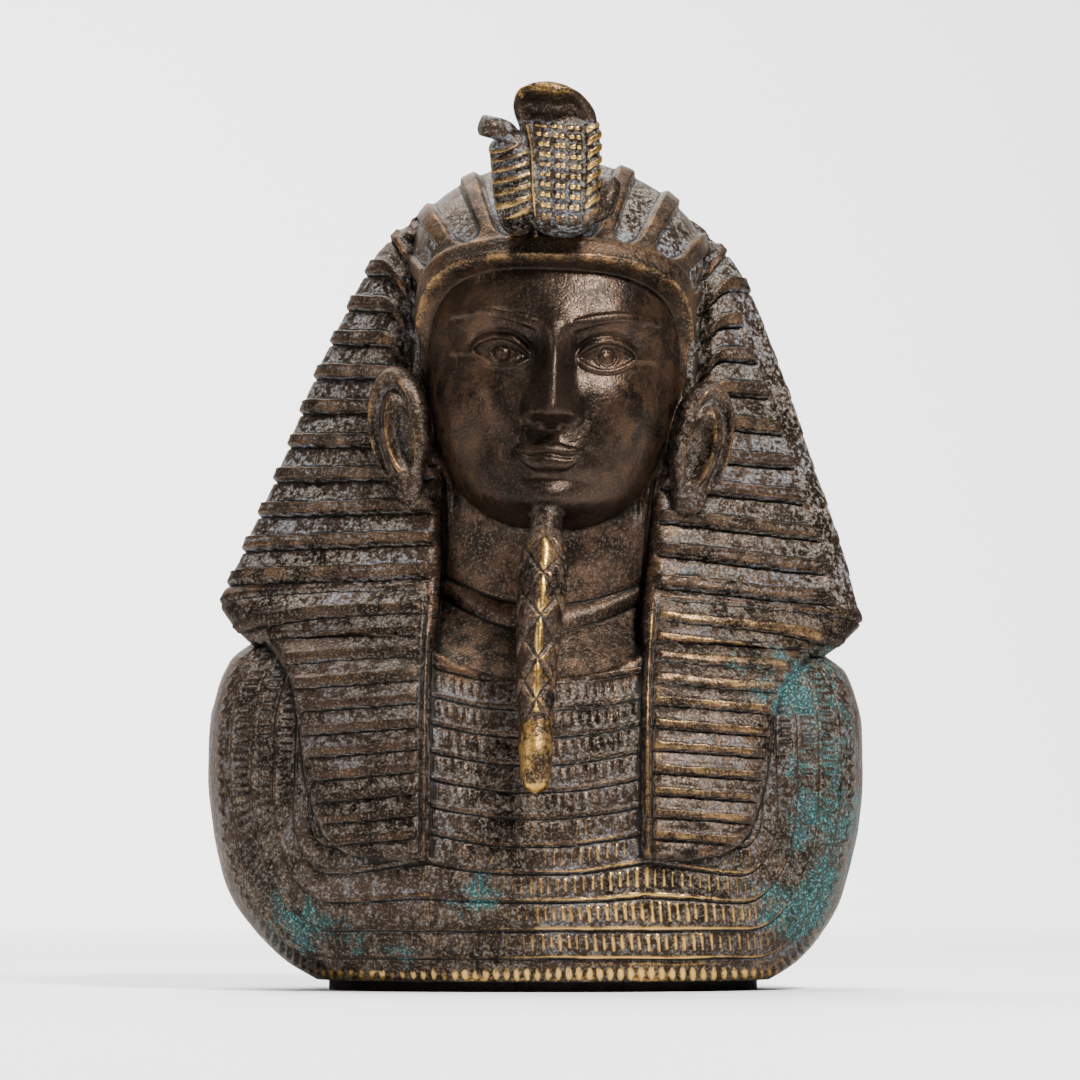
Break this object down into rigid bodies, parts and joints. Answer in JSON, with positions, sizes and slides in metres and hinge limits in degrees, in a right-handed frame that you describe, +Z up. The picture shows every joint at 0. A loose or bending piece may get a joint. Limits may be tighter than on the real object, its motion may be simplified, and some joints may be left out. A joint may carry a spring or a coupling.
{
  "type": "pharaoh bust",
  "caption": "Small cast bronze bust of a pharaoh with striped headcloth, brow cobra, plaited beard and broad bead collar, standing on its flat underside.",
  "frame": {"origin": "middle of the flat underside that the bust stands on", "axes": "+Z up from the underside to the cobra's hood, -Y the way the face looks, +X to the viewer's right"},
  "size_m": [0.0823, 0.0563, 0.11],
  "materials": {
    "bronze": "dark brown patinated cast bronze, polished to brass on the high points, grey and green deposits in the recesses"
  },
  "bodies": {
    "root": {"bust": "bronze"}
  },
  "joints": []
}
